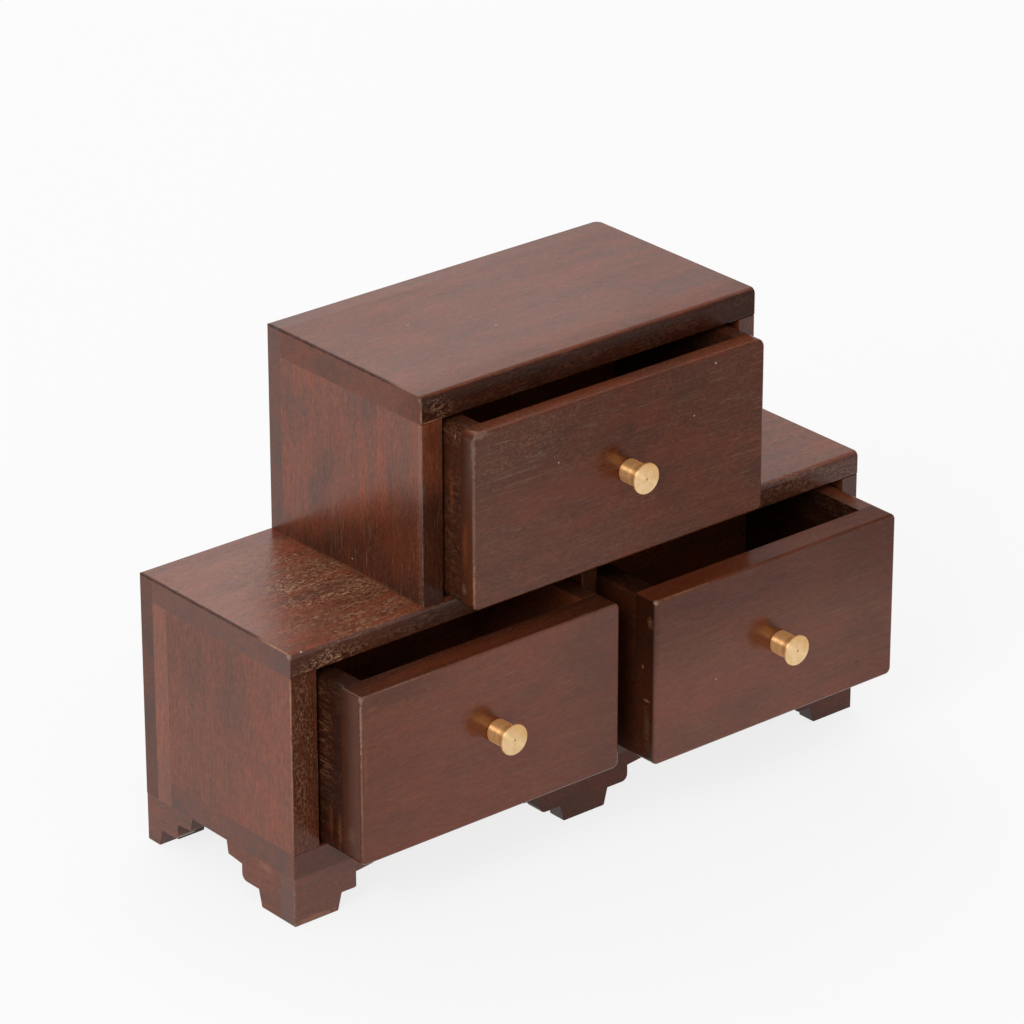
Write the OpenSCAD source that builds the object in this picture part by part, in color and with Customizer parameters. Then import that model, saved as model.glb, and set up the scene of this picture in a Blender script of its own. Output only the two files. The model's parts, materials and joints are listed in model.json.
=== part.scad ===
// Desktop mini drawers: a wide lower case with two drawers, a narrower upper
// case with one drawer, stepped bracket feet and turned brass knobs.
// Millimetres. +Z is up, +X is to the right and +Y is to the back. The origin
// is on the floor, at the middle of the width, in the plane of the case front.

/* [Cases] */
// Width of the lower case
case_w = 305; // [260:1:400]
// Depth of both cases, front plane to back plane
case_d = 99; // [85:1:160]
// Width of the upper case
upper_w = 176.5; // [150:0.5:220]
// How far the upper case stands to the right of the middle
upper_shift = 3; // [-10:0.5:10]
// Clear height inside the lower case
lower_open_h = 78.5; // [60:0.5:110]
// Clear height inside the upper case
upper_open_h = 79; // [60:0.5:110]

/* [Boards] */
// Thickness of the lower case's left side board
lower_left_t = 13; // [8:0.5:15]
// Thickness of the lower case's right side board
lower_right_t = 8.5; // [7:0.5:15]
// Thickness of the upper case's left side board
upper_left_t = 10.5; // [7:0.5:14]
// Thickness of the upper case's right side board
upper_right_t = 8.5; // [7:0.5:14]
// Thickness of the board between the lower drawers
partition_t = 8; // [6:0.5:14]
// Thickness of the lower case's top
lower_top_t = 10.5; // [8:0.5:14]
// Thickness of the upper case's top
upper_top_t = 12; // [8:0.5:16]
// Thickness of the lower case's floor
floor_t = 11; // [8:0.5:14]
// Thickness of the back boards
back_t = 8; // [5:0.5:12]
// Depth of the corner posts behind the lower sides
post_d = 9; // [6:0.5:14]
// Rounding of the long front edge of each top
nose_r = 2.4; // [0.5:0.1:4]
// Easing of the other long edges of the tops
ease_r = 0.8; // [0.3:0.1:2]
// Rounding of the upper case's back right corner, where a hand takes hold of it
grip_r = 3; // [0.5:0.1:5]

/* [Feet] */
// Height of the bracket feet
foot_h = 21.5; // [18:0.5:32]
// Thickness of the bracket boards
foot_t = 9; // [6:0.5:12]
// Width that a front corner foot stands on
front_foot_w = 22; // [15:0.5:30]
// Width that a rear corner foot stands on, along the side
rear_foot_w = 8; // [6:0.5:14]
// Width that the centre foot stands on
centre_foot_w = 22; // [14:0.5:36]
// Reach of the lower step beyond the standing width
step_1 = 13; // [10:0.5:16]
// Reach of the lower step on the face of a front corner foot
face_step_1 = 9.5; // [7:0.5:13]
// Reach of the upper step beyond the lower one
step_2 = 9; // [6:0.5:13]
// Height of the lower step's tread above the floor
tread_1 = 7.5; // [5:0.5:9]
// Height of the upper step's tread above the floor
tread_2 = 14.5; // [12:0.5:17]
// Rounding of the lower step's nose
step_r = 3; // [1:0.5:4]
// Rounding of the lower step's nose on the face of a front corner foot
face_step_r = 1; // [0.5:0.5:4]
// Lean of the standing part's inner edge
riser_lean = 2; // [0:0.5:3]

/* [Drawers] */
// Thickness of the upper drawer's front
upper_front_t = 8; // [6:0.5:14]
// Thickness of the lower drawers' fronts
lower_front_t = 12; // [6:0.5:14]
// Rounding of the corners of the upper drawer's front, and of its sides' outer edges
upper_corner_r = 4.2; // [1:0.1:5]
// Rounding of the corners of the lower drawers' fronts, and of their sides' outer edges
lower_corner_r = 2.8; // [1:0.1:5]
// Easing of the long arrises round the face of a drawer front
front_ease_r = 1.3; // [0.3:0.1:2.5]
// Thickness of the drawer sides
drawer_side_t = 10; // [6:0.5:12]
// Thickness of the drawer backs
drawer_back_t = 8; // [6:0.5:12]
// Thickness of the drawer bottoms
bottom_t = 3.5; // [2.5:0.5:5]
// Height of the bottom panel's groove above the lower edge
groove_z = 4; // [3:0.5:8]
// Depth of the groove that holds the bottom panel
groove_d = 3; // [2:0.5:4]
// Gap at each side of the upper drawer
upper_side_clear = 1.4; // [0.5:0.1:2.5]
// Gap at each side of a lower drawer
lower_side_clear = 1.5; // [0.5:0.1:2.5]
// Gap under a drawer
slide_clear = 0.3; // [0.2:0.1:0.8]
// Gap over the upper drawer
upper_top_clear = 1.7; // [1:0.1:4]
// Gap over the lower drawers
lower_top_clear = 3.2; // [1:0.1:6]
// Gap behind a closed drawer
rear_clear = 1; // [0.5:0.1:3]
// How far the upper drawer stands open
upper_pull = 17.5; // [0:0.5:50]
// How far the left drawer stands open
left_pull = 25.5; // [0:0.5:50]
// How far the right drawer stands open
right_pull = 34.5; // [0:0.5:50]

/* [Knobs] */
// Height of the upper drawer's knob above the middle of its front
upper_knob_lift = 0.6; // [-10:0.1:10]
// Height of the left drawer's knob above the middle of its front
left_knob_lift = 1; // [-10:0.1:10]
// Height of the right drawer's knob above the middle of its front
right_knob_lift = -1.7; // [-10:0.1:10]
// How far the upper drawer's knob stands to the right of the middle
upper_knob_shift = 3.3; // [-10:0.1:10]
// How far the left drawer's knob stands to the right of the middle
left_knob_shift = 1.9; // [-10:0.1:10]
// How far the right drawer's knob stands to the right of the middle
right_knob_shift = 1.4; // [-10:0.1:10]
// Diameter of the knob's face
knob_d = 13.3; // [11:0.1:20]
// Diameter of the collar that stands on the drawer front
collar_d = 10.2; // [9:0.1:11]
// Diameter of the waist behind the face
waist_d = 9.2; // [7:0.1:10]
// Length of the collar
collar_l = 6.8; // [5:0.1:9]
// Length of the waist, up to the back of the rim
waist_l = 3.8; // [3:0.1:6]
// Thickness of the rim at the face
rim_t = 1; // [0.8:0.1:2]
// Height of the dome on the face
dome_h = 0.4; // [0.2:0.1:0.8]
// Distance between the two ring grooves, and of the outer one from the collar's end
ring_pitch = 0.9; // [0.6:0.1:1.5]
// Depth of a ring groove
ring_depth = 0.2; // [0.1:0.05:0.4]
// Diameter of the knob screw's shank
screw_d = 3.5; // [3:0.1:4.2]
// Diameter of the knob screw's head
screw_head_d = 7; // [6:0.1:9]
// Height of the knob screw's head
screw_head_h = 2.2; // [1.5:0.1:3]
// How far the screw reaches into the knob
screw_bite = 7; // [4:0.5:8]

/* [Pins] */
// Diameter of the pins that hold the back boards
pin_d = 1.4; // [1:0.1:2]
// Diameter of a pin's head
pin_head_d = 2.8; // [2.2:0.1:4]
// Thickness of a pin's head
pin_head_t = 0.8; // [0.5:0.1:1.2]
// Length of a pin
pin_l = 20; // [16:1:26]
// Inset of the outer pins from the ends of a row
pin_inset = 14; // [8:1:20]

/* [Hidden] */
$fn = 48;

eps = 0.01;         // overshoot of a fine cut past the face it opens
past = 1;           // overshoot of a cut through a board
groove_clear = 0.2; // play of the bottom panel in its groove
hole_clear = 0.05;  // radial play of a screw or pin in its hole
slot_w = 1;         // screwdriver slot
slot_depth = 1;
edge_soft = 0.6;    // easing of the turned knob's edges
dimple_d = 1.6;     // lathe centre in the knob's face
dimple_depth = 0.5;
dimple_tip = 0.1;
step_lean = 1;      // lean of the upper step's tread and of its riser

wood = [0.38, 0.25, 0.20];
wood_front = [0.40, 0.27, 0.22];
wood_inside = [0.24, 0.15, 0.12];
brass = [0.80, 0.66, 0.42];
steel = [0.55, 0.55, 0.56];

inner_d = case_d - back_t;              // depth in front of the back boards
floor_z = foot_h + floor_t;             // upper face of the lower floor
lower_top_z = floor_z + lower_open_h;   // underside of the lower top
deck_z = lower_top_z + lower_top_t;     // where the upper case stands
upper_top_z = deck_z + upper_open_h;    // underside of the upper top
total_h = upper_top_z + upper_top_t;
panel_d = inner_d - post_d;             // depth of the lower side boards
lower_bay_w = (case_w - lower_left_t - lower_right_t - partition_t) / 2;
upper_bay_w = upper_w - upper_left_t - upper_right_t;
partition_x = (lower_left_t - lower_right_t) / 2;
upper_bay_x = upper_shift + (upper_left_t - upper_right_t) / 2;

// Ends of the cases, drawn on the right and mirrored to the left
RIGHT_END = 0;
LEFT_END = 1;
function lower_side_t(s) = [lower_right_t, lower_left_t][s];
function upper_side_t(s) = [upper_right_t, upper_left_t][s];
function end_sign(s) = [1, -1][s];

// Each drawer: 0 upper, 1 lower left, 2 lower right
UPPER = 0;
LEFT = 1;
RIGHT = 2;
bay_step = (lower_bay_w + partition_t) / 2;     // partition to the middle of a bay
function drawer_x(d) = [upper_bay_x, partition_x - bay_step, partition_x + bay_step][d];
function drawer_z(d) = (d == UPPER ? deck_z : floor_z) + slide_clear;
function drawer_pull(d) = [upper_pull, left_pull, right_pull][d];
function drawer_w(d) = d == UPPER
    ? upper_bay_w - 2 * upper_side_clear
    : lower_bay_w - 2 * lower_side_clear;
function drawer_h(d) = d == UPPER
    ? upper_open_h - slide_clear - upper_top_clear
    : lower_open_h - slide_clear - lower_top_clear;
function front_t(d) = d == UPPER ? upper_front_t : lower_front_t;
function corner_r(d) = d == UPPER ? upper_corner_r : lower_corner_r;
function knob_x(d) = [upper_knob_shift, left_knob_shift, right_knob_shift][d];
function knob_z(d) = drawer_h(d) / 2 + [upper_knob_lift, left_knob_lift, right_knob_lift][d];
drawer_l = inner_d - rear_clear;

// ---------- shared shapes ----------

// Material outside a quarter round, to cut one corner of a flat shape
module corner_cut(r) {
    difference() {
        translate([-past, -past]) square(r + past);
        translate([r, r]) circle(r);
    }
}

// Rectangle on the first quadrant with its own radius at each corner,
// in the order bottom left, bottom right, top right, top left
module eased_rect(w, h, radii) {
    difference() {
        square([w, h]);
        for (i = [0 : 3])
            translate([(i == 1 || i == 2) ? w : 0, i > 1 ? h : 0])
                rotate(90 * i) corner_cut(radii[i]);
    }
}

// Flat shape drawn in X and Z, given a thickness from y0 towards the back
module along_y(y0, t) {
    translate([0, y0 + t, 0]) rotate([90, 0, 0]) linear_extrude(t) children();
}

// Flat shape drawn in Y and Z, given a width from x0 to the right
module along_x(x0, w) {
    translate([x0, 0, 0]) rotate([90, 0, 90]) linear_extrude(w) children();
}

// ---------- pins through the back boards ----------

function row(from, to, n) = [for (i = [0 : n - 1]) from + (to - from) * i / (n - 1)];

function lower_pin_x(s) = end_sign(s) * (case_w - lower_side_t(s)) / 2;
function upper_pin_x(s) = upper_shift + end_sign(s) * (upper_w - upper_side_t(s)) / 2;
lower_post_z = row(floor_z + pin_inset, lower_top_z - pin_inset, 3);
upper_side_z = row(deck_z + pin_inset, upper_top_z - pin_inset, 3);
lower_row_x = row(-case_w / 2 + 2 * pin_inset, case_w / 2 - 2 * pin_inset, 4);
upper_row_x = row(upper_shift - upper_w / 2 + 2 * pin_inset,
                  upper_shift + upper_w / 2 - 2 * pin_inset, 3);

lower_pins = concat(
    [for (s = [RIGHT_END, LEFT_END]) for (z = lower_post_z) [lower_pin_x(s), z]],
    [for (z = lower_post_z) [partition_x, z]],
    [for (x = lower_row_x) [x, lower_top_z + lower_top_t / 2]],
    [for (x = lower_row_x) [x, foot_h + floor_t / 2]]
);
upper_pins = concat(
    [for (s = [RIGHT_END, LEFT_END]) for (z = upper_side_z) [upper_pin_x(s), z]],
    [for (x = upper_row_x) [x, upper_top_z + upper_top_t / 2]]
);

// Pins with their heads flush in the back plane, or their holes with play
module pins(places, play = 0) {
    for (p = places)
        translate([p[0], case_d, p[1]]) rotate([90, 0, 0]) {
            translate([0, 0, -play]) cylinder(d = pin_head_d + 2 * play, h = pin_head_t + play);
            cylinder(d = pin_d + 2 * play, h = pin_l + play);
        }
}

// ---------- lower case ----------

// A top board: its long edges are eased and its front edge is a soft nose
module top_board(x, w, z, t, pin_places) {
    difference() {
        along_x(x - w / 2, w)
            translate([0, z]) eased_rect(inner_d, t, [ease_r, 0, 0, nose_r]);
        pins(pin_places, hole_clear);
    }
}

module lower_top() {
    color(wood) top_board(0, case_w, lower_top_z, lower_top_t, lower_pins);
}

// The floor runs out to both ends, with a notch for each corner post
module lower_floor() {
    color(wood) difference() {
        translate([-case_w / 2, 0, foot_h]) cube([case_w, inner_d, floor_t]);
        for (s = [RIGHT_END, LEFT_END]) mirror([s, 0, 0])
            translate([case_w / 2 - lower_side_t(s), panel_d, foot_h - past])
                cube([lower_side_t(s) + past, post_d + past, floor_t + 2 * past]);
        pins(lower_pins, hole_clear);
    }
}

module lower_side(s) {
    color(wood) difference() {
        mirror([s, 0, 0]) translate([case_w / 2 - lower_side_t(s), 0, floor_z])
            cube([lower_side_t(s), panel_d, lower_open_h]);
        pins(lower_pins, hole_clear);
    }
}

module lower_partition() {
    color(wood) difference() {
        translate([partition_x - partition_t / 2, 0, floor_z])
            cube([partition_t, inner_d, lower_open_h]);
        pins(lower_pins, hole_clear);
    }
}

module rear_post(s) {
    color(wood) difference() {
        mirror([s, 0, 0]) translate([case_w / 2 - lower_side_t(s), panel_d, foot_h])
            cube([lower_side_t(s), post_d, lower_top_z - foot_h]);
        pins(lower_pins, hole_clear);
    }
}

module lower_back() {
    color(wood) difference() {
        translate([-case_w / 2, inner_d, foot_h]) cube([case_w, back_t, deck_z - foot_h]);
        pins(lower_pins, hole_clear);
    }
}

// ---------- bracket feet ----------

// Inner edge of a bracket, from the floor up to the case, where x is the
// standing width: a leaning riser, a step with the given reach and rounded
// nose, and a square step
function step_nose(x, r) = [
    for (a = [-90 : 18 : 0]) [x - r + r * cos(a), tread_1 + r + r * sin(a)]
];
function bracket_edge(x, reach, r) = concat(
    [[x, 0], [x + riser_lean, tread_1]],
    step_nose(x + reach, r),
    [[x + reach, tread_2], [x + reach + step_2, tread_2 + step_lean],
     [x + reach + step_2 + step_lean, foot_h]]
);
function flipped(points) = [for (i = [len(points) - 1 : -1 : 0]) [-points[i][0], points[i][1]]];

// Bracket that stands on the width w, with its straight edge at x = 0
module corner_bracket(w, reach = step_1, r = step_r) {
    polygon(concat([[0, foot_h], [0, 0]], bracket_edge(w, reach, r)));
}

module front_foot_face(s) {
    color(wood) mirror([s, 0, 0])
        translate([case_w / 2, 0, 0]) mirror([1, 0, 0])
            along_y(0, foot_t) corner_bracket(front_foot_w, face_step_1, face_step_r);
}

// The side bracket butts against the back of the front one
module front_foot_side(s) {
    color(wood) mirror([s, 0, 0]) along_x(case_w / 2 - foot_t, foot_t)
        difference() {
            corner_bracket(front_foot_w);
            translate([-past, -past]) square([foot_t + past, foot_h + 2 * past]);
        }
}

module centre_foot() {
    edge = bracket_edge(centre_foot_w / 2, step_1, step_r);
    color(wood) along_y(0, foot_t) polygon(concat(flipped(edge), edge));
}

module rear_foot_side(s) {
    color(wood) mirror([s, 0, 0]) along_x(case_w / 2 - foot_t, foot_t)
        translate([case_d, 0]) mirror([1, 0]) corner_bracket(rear_foot_w);
}

// The back bracket fits between the side brackets
module rear_foot_back(s) {
    color(wood) mirror([s, 0, 0])
        translate([case_w / 2, 0, 0]) mirror([1, 0, 0])
            along_y(case_d - foot_t, foot_t) difference() {
                corner_bracket(front_foot_w);
                translate([-past, -past]) square([foot_t + past, foot_h + 2 * past]);
            }
}

// ---------- upper case ----------

module upper_top() {
    color(wood) top_board(upper_shift, upper_w, upper_top_z, upper_top_t, upper_pins);
}

module upper_side(s) {
    color(wood) difference() {
        translate([upper_shift, 0, deck_z])
            mirror([s, 0, 0]) translate([upper_w / 2 - upper_side_t(s), 0, 0])
                cube([upper_side_t(s), inner_d, upper_open_h]);
        pins(upper_pins, hole_clear);
    }
}

module upper_back() {
    color(wood) difference() {
        translate([upper_shift - upper_w / 2, inner_d, deck_z])
            linear_extrude(total_h - deck_z) eased_rect(upper_w, back_t, [0, 0, grip_r, 0]);
        pins(upper_pins, hole_clear);
    }
}

module lower_back_pins() {
    color(steel) pins(lower_pins);
}

module upper_back_pins() {
    color(steel) pins(upper_pins);
}

// ---------- drawers ----------

// A drawer is drawn closed, with its front plane at y = 0 and its lower edge
// at z = 0, and then put in its bay and pulled out
module in_bay(d) {
    translate([drawer_x(d), -drawer_pull(d), drawer_z(d)]) children();
}

// Space that the bottom panel needs in the grooves, from the front's back face
module bottom_space(d, play) {
    w = drawer_w(d) - 2 * (drawer_side_t - groove_d);
    l = drawer_l - front_t(d) - drawer_back_t + 2 * groove_d;
    translate([-w / 2, front_t(d) - groove_d, groove_z])
        cube([w, l, bottom_t + play]);
}

// Board with rounded corners and with eased arrises round its forward face
module eased_front(w, t, h, r) {
    intersection() {
        along_y(0, t) translate([-w / 2, 0]) eased_rect(w, h, [r, r, r, r]);
        along_x(-w / 2, w) eased_rect(t, h, [front_ease_r, 0, 0, front_ease_r]);
        linear_extrude(h)
            translate([-w / 2, 0]) eased_rect(w, t, [front_ease_r, front_ease_r, 0, 0]);
    }
}

module drawer_front(d) {
    color(wood_front) in_bay(d) difference() {
        eased_front(drawer_w(d), front_t(d), drawer_h(d), corner_r(d));
        bottom_space(d, groove_clear);
        translate([knob_x(d), -past, knob_z(d)]) rotate([-90, 0, 0])
            cylinder(d = screw_d + 2 * hole_clear, h = front_t(d) + 2 * past);
    }
}

// The outer edges of a side are rounded to run on from the front's corners
module drawer_side(d, s) {
    color(wood_inside) in_bay(d) difference() {
        mirror([s, 0, 0]) along_y(front_t(d), drawer_l - front_t(d))
            translate([drawer_w(d) / 2 - drawer_side_t, 0])
                eased_rect(drawer_side_t, drawer_h(d), [0, corner_r(d), corner_r(d), 0]);
        bottom_space(d, groove_clear);
    }
}

module drawer_back(d) {
    w = drawer_w(d) - 2 * drawer_side_t;
    color(wood_inside) in_bay(d) difference() {
        translate([-w / 2, drawer_l - drawer_back_t, 0])
            cube([w, drawer_back_t, drawer_h(d)]);
        bottom_space(d, groove_clear);
    }
}

module drawer_bottom(d) {
    color(wood_inside) in_bay(d) bottom_space(d, 0);
}

// ---------- knobs ----------

rim_back = collar_l + waist_l;
rim_front = rim_back + rim_t;

// Half outline of the turned knob: x is the radius, y the distance from the
// drawer front. A quarter round runs from the waist out to the rim.
module knob_outline() {
    flare_r = (knob_d - waist_d) / 2;
    dome_r = (knob_d * knob_d / 4 + dome_h * dome_h) / (2 * dome_h);
    difference() {
        eased_rect(collar_d / 2, collar_l, [0, edge_soft, edge_soft / 2, 0]);
        for (i = [1, 2])
            translate([collar_d / 2, collar_l - i * ring_pitch])
                rotate(45) square(ring_depth * sqrt(2), center = true);
    }
    square([waist_d / 2, rim_front]);
    difference() {
        translate([0, rim_back - flare_r]) square([knob_d / 2, flare_r + eps]);
        translate([knob_d / 2, rim_back - flare_r]) circle(flare_r, $fn = 96);
    }
    translate([0, rim_back])
        eased_rect(knob_d / 2, rim_t, [0, edge_soft / 4, edge_soft / 2, 0]);
    intersection() {
        translate([0, rim_front - dome_r + dome_h]) circle(dome_r, $fn = 180);
        translate([0, rim_front - eps]) square([knob_d / 2 - edge_soft, dome_h + eps]);
    }
}

module knob(d) {
    color(brass) in_bay(d) translate([knob_x(d), 0, knob_z(d)])
        rotate([90, 0, 0]) difference() {
            rotate_extrude($fn = 96) knob_outline();
            translate([0, 0, -past])
                cylinder(d = screw_d + 2 * hole_clear, h = past + screw_bite + edge_soft);
            translate([0, 0, rim_front + dome_h - dimple_depth])
                cylinder(d1 = dimple_tip, d2 = dimple_d, h = dimple_depth + eps);
        }
}

// Slotted pan-head screw from inside the drawer, through the front
module knob_screw(d) {
    reach = front_t(d) + screw_bite;
    color(steel) in_bay(d) translate([knob_x(d), front_t(d), knob_z(d)])
        rotate([-90, 0, 0]) difference() {
            union() {
                rotate_extrude()
                    eased_rect(screw_head_d / 2, screw_head_h, [0, 0, screw_head_h / 2, 0]);
                translate([0, 0, -reach]) cylinder(d = screw_d, h = reach + screw_head_h / 2);
            }
            translate([-screw_head_d, -slot_w / 2, screw_head_h - slot_depth])
                cube([2 * screw_head_d, slot_w, slot_depth + past]);
        }
}

// ---------- nodes ----------

lower_top();
lower_floor();
lower_side(LEFT_END);  // lower_left_side
lower_side(RIGHT_END);  // lower_right_side
lower_partition();
lower_back();
rear_post(LEFT_END);  // left_rear_post
rear_post(RIGHT_END);  // right_rear_post
front_foot_face(LEFT_END);  // front_left_foot_face
front_foot_side(LEFT_END);  // front_left_foot_side
front_foot_face(RIGHT_END);  // front_right_foot_face
front_foot_side(RIGHT_END);  // front_right_foot_side
centre_foot();
rear_foot_side(LEFT_END);  // rear_left_foot_side
rear_foot_back(LEFT_END);  // rear_left_foot_back
rear_foot_side(RIGHT_END);  // rear_right_foot_side
rear_foot_back(RIGHT_END);  // rear_right_foot_back
upper_top();
upper_side(LEFT_END);  // upper_left_side
upper_side(RIGHT_END);  // upper_right_side
upper_back();
lower_back_pins();
upper_back_pins();
drawer_front(UPPER);  // upper_drawer_front
drawer_side(UPPER, LEFT_END);  // upper_drawer_left_side
drawer_side(UPPER, RIGHT_END);  // upper_drawer_right_side
drawer_back(UPPER);  // upper_drawer_back
drawer_bottom(UPPER);  // upper_drawer_bottom
knob(UPPER);  // upper_drawer_knob
knob_screw(UPPER);  // upper_drawer_knob_screw
drawer_front(LEFT);  // left_drawer_front
drawer_side(LEFT, LEFT_END);  // left_drawer_left_side
drawer_side(LEFT, RIGHT_END);  // left_drawer_right_side
drawer_back(LEFT);  // left_drawer_back
drawer_bottom(LEFT);  // left_drawer_bottom
knob(LEFT);  // left_drawer_knob
knob_screw(LEFT);  // left_drawer_knob_screw
drawer_front(RIGHT);  // right_drawer_front
drawer_side(RIGHT, LEFT_END);  // right_drawer_left_side
drawer_side(RIGHT, RIGHT_END);  // right_drawer_right_side
drawer_back(RIGHT);  // right_drawer_back
drawer_bottom(RIGHT);  // right_drawer_bottom
knob(RIGHT);  // right_drawer_knob
knob_screw(RIGHT);  // right_drawer_knob_screw
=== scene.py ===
"""Desktop mini drawers: the looks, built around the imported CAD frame.

Everything is in metres in the frame of the CAD model: the origin is on the
floor, in the middle of the width and in the plane of the case front; +X is to
the right, +Y to the back and +Z up. The boards are the CAD solids with their
free arrises rubbed down, and have procedural wood. The drawer fronts and the
turned knobs are modelled here, in the place of those of the CAD.
"""

import itertools
import json
import math

import bmesh
import bpy
from mathutils import Matrix, Vector


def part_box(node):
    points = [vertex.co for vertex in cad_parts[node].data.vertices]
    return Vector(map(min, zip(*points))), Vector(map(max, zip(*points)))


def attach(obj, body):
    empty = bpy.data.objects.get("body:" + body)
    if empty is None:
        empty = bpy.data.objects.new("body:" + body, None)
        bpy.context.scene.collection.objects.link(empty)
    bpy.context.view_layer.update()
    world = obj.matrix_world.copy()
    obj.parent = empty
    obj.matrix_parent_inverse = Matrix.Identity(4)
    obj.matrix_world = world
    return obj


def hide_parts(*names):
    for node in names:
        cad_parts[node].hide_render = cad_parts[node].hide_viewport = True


MM = 0.001

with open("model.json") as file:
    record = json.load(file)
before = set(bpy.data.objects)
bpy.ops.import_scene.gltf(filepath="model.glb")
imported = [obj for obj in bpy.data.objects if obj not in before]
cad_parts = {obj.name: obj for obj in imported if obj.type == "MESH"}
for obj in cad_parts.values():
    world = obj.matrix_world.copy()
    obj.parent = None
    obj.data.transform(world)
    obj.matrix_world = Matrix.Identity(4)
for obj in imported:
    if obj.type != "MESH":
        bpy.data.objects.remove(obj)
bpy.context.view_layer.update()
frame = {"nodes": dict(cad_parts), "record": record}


# ---------- camera ----------

VIEW_AZIMUTH = math.radians(-39.911)
VIEW_ELEVATION = math.radians(24.642)
VIEW_ROLL = math.radians(-0.067)
VIEW_AIM = Vector((-5.1, 40.6, 125.5)) * MM
VIEW_DISTANCE = 2184.5 * MM
VIEW_FAR = 20.0             # nothing beyond this many metres is drawn
LENS_MM = 186.19
SENSOR_MM = 36.0


def make_camera():
    """The camera looks at VIEW_AIM from the front left and above."""
    back = Vector((
        math.sin(VIEW_AZIMUTH) * math.cos(VIEW_ELEVATION),
        -math.cos(VIEW_AZIMUTH) * math.cos(VIEW_ELEVATION),
        math.sin(VIEW_ELEVATION),
    ))
    data = bpy.data.cameras.new("camera")
    data.lens = LENS_MM
    data.sensor_width = SENSOR_MM
    data.clip_end = VIEW_FAR
    camera = bpy.data.objects.new("camera", data)
    camera.rotation_mode = "QUATERNION"
    roll = Matrix.Rotation(VIEW_ROLL, 3, "Z").to_quaternion()
    camera.rotation_quaternion = (-back).to_track_quat("-Z", "Y") @ roll
    camera.location = VIEW_AIM + back * VIEW_DISTANCE
    bpy.context.scene.collection.objects.link(camera)
    bpy.context.scene.camera = camera


# ---------- short forms for building shader nodes ----------

MIX_A, MIX_B, MIX_RESULT = 6, 7, 2      # the colour sockets of a Mix node


class Graph:
    """One node tree, with a short method for each kind of node used here."""

    def __init__(self, tree):
        self.tree = tree
        tree.nodes.clear()

    def node(self, kind, **settings):
        made = self.tree.nodes.new(kind)
        for name, value in settings.items():
            setattr(made, name, value)
        return made

    def feed(self, socket, value):
        if isinstance(value, bpy.types.NodeSocket):
            self.tree.links.new(value, socket)
        elif value is not None:
            socket.default_value = value

    def math(self, operation, a, b=None):
        made = self.node("ShaderNodeMath", operation=operation)
        for socket, value in zip(made.inputs, (a, b)):
            self.feed(socket, value)
        return made.outputs[0]

    def add(self, a, b):
        return self.math("ADD", a, b)

    def less(self, a, b):
        return self.math("SUBTRACT", a, b)

    def times(self, a, b):
        return self.math("MULTIPLY", a, b)

    def vector(self, operation, a, b=None):
        made = self.node("ShaderNodeVectorMath", operation=operation)
        self.feed(made.inputs[0], a)
        self.feed(made.inputs[1], b)
        return made.outputs["Value" if operation in ("DOT_PRODUCT", "LENGTH") else "Vector"]

    def split(self, vector):
        made = self.node("ShaderNodeSeparateXYZ")
        self.feed(made.inputs[0], vector)
        return made.outputs[:]

    def join(self, x, y, z):
        made = self.node("ShaderNodeCombineXYZ")
        for socket, value in zip(made.inputs, (x, y, z)):
            self.feed(socket, value)
        return made.outputs[0]

    def level(self, value, low, high, to_low=0.0, to_high=1.0):
        """value between low and high, smoothly from to_low to to_high."""
        made = self.node("ShaderNodeMapRange", interpolation_type="SMOOTHSTEP")
        for socket, given in zip(made.inputs, (value, low, high, to_low, to_high)):
            self.feed(socket, given)
        return made.outputs[0]

    def noise(self, vector, detail=2.0, roughness=0.5, distortion=0.0):
        """Fractal noise around 0.5 with features about one unit wide."""
        made = self.node("ShaderNodeTexNoise")
        self.feed(made.inputs["Vector"], vector)
        self.feed(made.inputs["Scale"], 1.0)
        self.feed(made.inputs["Detail"], detail)
        self.feed(made.inputs["Roughness"], roughness)
        self.feed(made.inputs["Distortion"], distortion)
        return made.outputs["Fac"]

    def mix(self, share, a, b, blend="MIX"):
        """Colour a, turned to colour b by the given share."""
        made = self.node("ShaderNodeMix", data_type="RGBA", blend_type=blend)
        self.feed(made.inputs["Factor"], share)
        self.feed(made.inputs[MIX_A], a)
        self.feed(made.inputs[MIX_B], b)
        return made.outputs[MIX_RESULT]

    def tint(self, share, base, factor):
        """base, multiplied by the colour factor to the given share."""
        return self.mix(share, base, (*factor, 1.0), "MULTIPLY")


def surface(name):
    """A new material and the graph of its empty node tree."""
    material = bpy.data.materials.new(name)
    material.use_nodes = True
    return material, Graph(material.node_tree)


def place_in_mm(g):
    """The place in the frame of the shaded point, in mm."""
    texture = g.node("ShaderNodeTexCoord").outputs
    return g.vector("MULTIPLY", texture["Object"], (1 / MM,) * 3)


def finish_surface(g, colour, roughness, height, bump_mm, **constants):
    """A Principled surface. The constants go on its own sockets."""
    shader = g.node("ShaderNodeBsdfPrincipled")
    g.feed(shader.inputs["Base Color"], colour)
    g.feed(shader.inputs["Roughness"], roughness)
    for socket, value in constants.items():
        shader.inputs[socket.replace("_", " ")].default_value = value
    bump = g.node("ShaderNodeBump")
    g.feed(bump.inputs["Distance"], bump_mm * MM)
    g.feed(bump.inputs["Height"], height)
    g.feed(shader.inputs["Normal"], bump.outputs[0])
    g.feed(g.node("ShaderNodeOutputMaterial").inputs[0], shader.outputs[0])
    return shader


# ---------- boards of the frame: neighbours and free arrises ----------

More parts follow.
